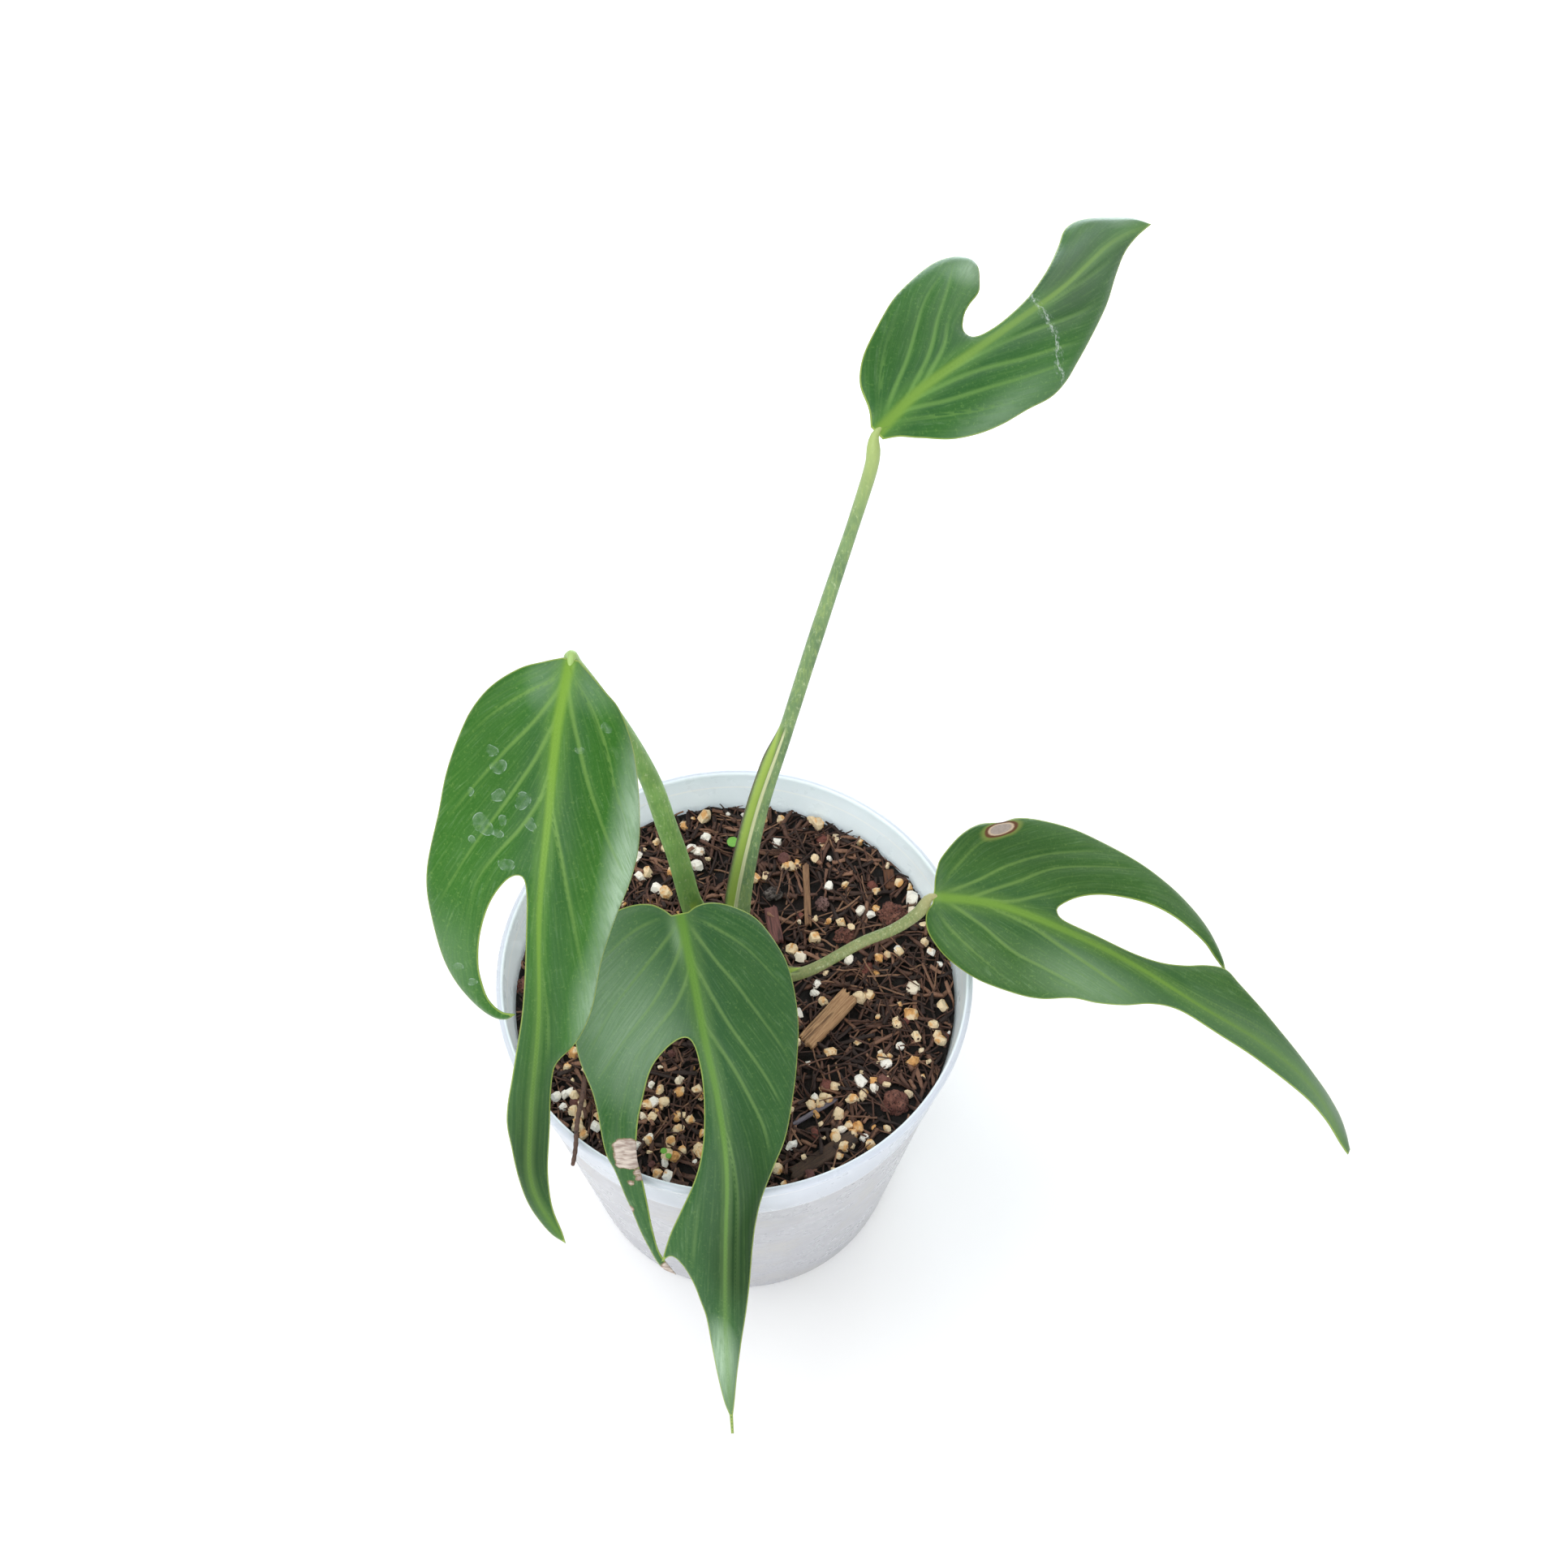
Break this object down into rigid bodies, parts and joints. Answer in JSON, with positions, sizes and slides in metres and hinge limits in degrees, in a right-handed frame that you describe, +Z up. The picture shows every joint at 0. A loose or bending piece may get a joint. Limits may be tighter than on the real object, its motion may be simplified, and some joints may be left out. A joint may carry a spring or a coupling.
{
  "type": "potted split-leaf monstera",
  "caption": "Young potted monstera with deeply notched, long-tailed leaves on slender sheathed stalks, in a round frosted nursery pot filled with bark and perlite mix.",
  "frame": {"origin": "centre of the pot's underside, on the surface that it stands on", "axes": "+Z up along the pot's axis; -Y towards the front, where one leaf hangs down over the rim and from where the plant is seen; +X to the right, where another leaf reaches out"},
  "size_m": [0.2444, 0.2463, 0.3022],
  "materials": {
    "frosted_plastic": "satin",
    "potting_mix": "matte",
    "stem": "satin",
    "stalk": "satin",
    "leaf_left": "satin",
    "leaf_front": "satin",
    "leaf_top": "satin",
    "leaf_right": "satin",
    "tan_wood": "matte",
    "dark_bark": "matte",
    "red_bark": "matte",
    "brown_wood": "matte",
    "grey_straw": "matte",
    "lava_stone": "matte",
    "mauve_stone": "matte",
    "grey_stone": "matte"
  },
  "bodies": {
    "root": {"pot": "frosted_plastic", "potting_mix": "potting_mix", "stem": "stem", "petiole_left": "stalk", "petiole_front": "stalk", "petiole_top": "stalk", "petiole_right": "stalk", "blade_left": "leaf_left", "blade_front": "leaf_front", "blade_top": "leaf_top", "blade_right": "leaf_right", "wood_chip": "tan_wood", "dark_bark": "dark_bark", "red_bark": "red_bark", "pale_stick": "brown_wood", "bark_flake": "brown_wood", "grey_straw": "grey_straw", "lava_stone_right": "lava_stone", "lava_stone_front": "lava_stone", "lava_stone_left": "lava_stone", "lava_stone_middle": "lava_stone", "mauve_stone": "mauve_stone", "grey_stone": "grey_stone", "rim_stick": "dark_bark"}
  },
  "joints": []
}
